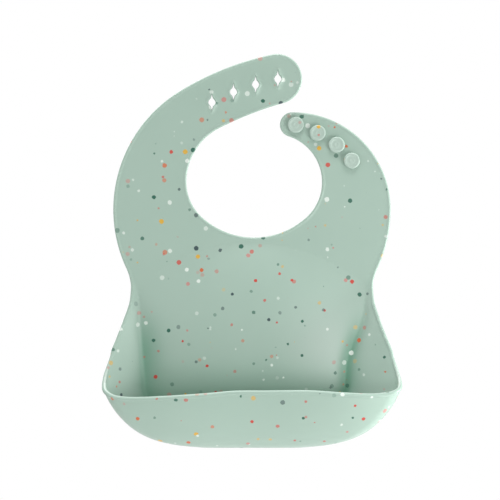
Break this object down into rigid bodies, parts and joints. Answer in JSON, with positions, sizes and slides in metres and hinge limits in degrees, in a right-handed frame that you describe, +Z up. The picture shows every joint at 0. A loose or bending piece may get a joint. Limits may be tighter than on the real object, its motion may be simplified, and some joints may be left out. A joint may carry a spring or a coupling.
{
  "type": "silicone baby bib",
  "caption": "Moulded silicone baby bib with a scoop pocket at the foot and an adjustable neckband closed by pegs in star-shaped eyelets.",
  "frame": {"origin": "middle of the neck opening, on the middle of the sheet's thickness", "axes": "+Z up as worn, -Y towards the front of the bib, +X to the right as the front is looked at"},
  "size_m": [0.2212, 0.0519, 0.2969],
  "materials": {
    "silicone": "matt, with fine mixed specks"
  },
  "bodies": {
    "chest": {"chest_panel": "silicone"},
    "fold_strip": {"chest_fold_strip": "silicone"},
    "lower_bib": {"lower_panel": "silicone", "left_wing": "silicone", "right_wing": "silicone", "pocket_left_side": "silicone", "pocket_right_side": "silicone", "pocket_floor": "silicone"},
    "pocket_front": {"pocket_front": "silicone", "pocket_rim": "silicone"},
    "hole_strap_1": {"hole_strap_root": "silicone"},
    "hole_strap_2": {"hole_strap_bend": "silicone"},
    "hole_strap_3": {"hole_strap_inner_eyelets": "silicone"},
    "hole_strap_4": {"hole_strap_end": "silicone"},
    "peg_strap_1": {"peg_strap_root": "silicone", "peg_4": "silicone"},
    "peg_strap_2": {"peg_strap_middle": "silicone", "peg_3": "silicone", "peg_2": "silicone"},
    "peg_strap_3": {"peg_strap_end": "silicone", "peg_1": "silicone"}
  },
  "joints": [
    {"name": "hole_strap_bend_1", "type": "hinge", "parent": "chest", "child": "hole_strap_1", "pos_m": [-0.0775, 0.001, -0.008], "axis": [-0.9994, 0, 0.0349], "range_deg": [-5, 30], "stiffness_Nm_per_rad": 0.15},
    {"name": "hole_strap_bend_2", "type": "hinge", "parent": "hole_strap_1", "child": "hole_strap_2", "pos_m": [-0.066, 0.001, 0.028], "axis": [-0.866, 0, 0.5], "range_deg": [-5, 30]},
    {"name": "hole_strap_bend_3", "type": "hinge", "parent": "hole_strap_2", "child": "hole_strap_3", "pos_m": [-0.0418, 0.001, 0.054], "axis": [-0.5, 0, 0.866], "range_deg": [-5, 30]},
    {"name": "hole_strap_bend_4", "type": "hinge", "parent": "hole_strap_3", "child": "hole_strap_4", "pos_m": [-0.0057, 0.001, 0.0712], "axis": [-0.3256, 0, 0.9455], "range_deg": [-5, 30]},
    {"name": "peg_strap_bend_1", "type": "hinge", "parent": "chest", "child": "peg_strap_1", "pos_m": [0.0785, 0.001, -0.008], "axis": [-0.9994, 0, -0.0349], "range_deg": [-5, 30], "stiffness_Nm_per_rad": 0.1},
    {"name": "peg_strap_bend_2", "type": "hinge", "parent": "peg_strap_1", "child": "peg_strap_2", "pos_m": [0.0699, 0.001, 0.022], "axis": [-0.7254, 0, -0.6884], "range_deg": [-5, 30]},
    {"name": "peg_strap_bend_3", "type": "hinge", "parent": "peg_strap_2", "child": "peg_strap_3", "pos_m": [0.0415, 0.001, 0.04], "axis": [-0.3502, 0, -0.9367], "range_deg": [-5, 30]},
    {"name": "chest_fold_upper", "type": "hinge", "parent": "chest", "child": "fold_strip", "pos_m": [0, -0.0018, -0.053], "axis": [-1, 0, 0], "range_deg": [-5, 50], "stiffness_Nm_per_rad": 0.15},
    {"name": "chest_fold_lower", "type": "hinge", "parent": "fold_strip", "child": "lower_bib", "pos_m": [0, -0.0018, -0.072], "axis": [-1, 0, 0], "range_deg": [-5, 50]},
    {"name": "pocket_front_give", "type": "hinge", "parent": "lower_bib", "child": "pocket_front", "pos_m": [0, -0.0352, -0.1886], "axis": [1, 0, 0], "range_deg": [-12, 15], "stiffness_Nm_per_rad": 0.15}
  ],
  "couplings": [
    {"joint": "hole_strap_bend_2", "follows": "hole_strap_bend_1", "ratio": 1},
    {"joint": "hole_strap_bend_3", "follows": "hole_strap_bend_1", "ratio": 1},
    {"joint": "hole_strap_bend_4", "follows": "hole_strap_bend_1", "ratio": 1},
    {"joint": "peg_strap_bend_2", "follows": "peg_strap_bend_1", "ratio": 1},
    {"joint": "peg_strap_bend_3", "follows": "peg_strap_bend_1", "ratio": 1},
    {"joint": "chest_fold_lower", "follows": "chest_fold_upper", "ratio": 1}
  ]
}
